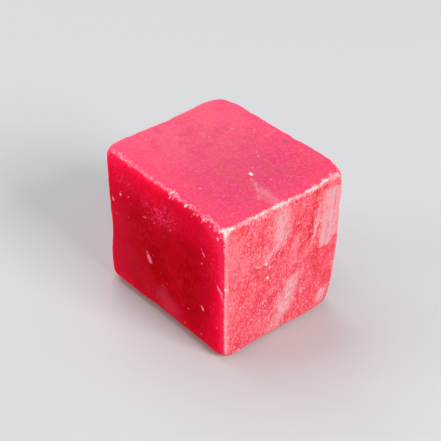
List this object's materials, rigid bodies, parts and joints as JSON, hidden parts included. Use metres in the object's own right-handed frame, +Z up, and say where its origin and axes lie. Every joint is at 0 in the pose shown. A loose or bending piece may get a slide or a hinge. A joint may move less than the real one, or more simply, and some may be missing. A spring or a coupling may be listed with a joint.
{
  "type": "ruby crystal cube",
  "caption": "Small tumbled cube of ruby with worn, rounded arrises and one split corner, standing on a flat face.",
  "frame": {"origin": "on the surface that the stone stands on, below the middle of its outline seen from above", "axes": "+Z up, +X to the right along the longest side, -Y the front face, along the shortest side"},
  "size_m": [0.0222, 0.0188, 0.0202],
  "materials": {
    "ruby": "deep red natural ruby, tumbled to a satin surface, with pale veins, fine grain and frosted arrises"
  },
  "bodies": {
    "root": {"ruby_cube": "ruby"}
  },
  "joints": []
}
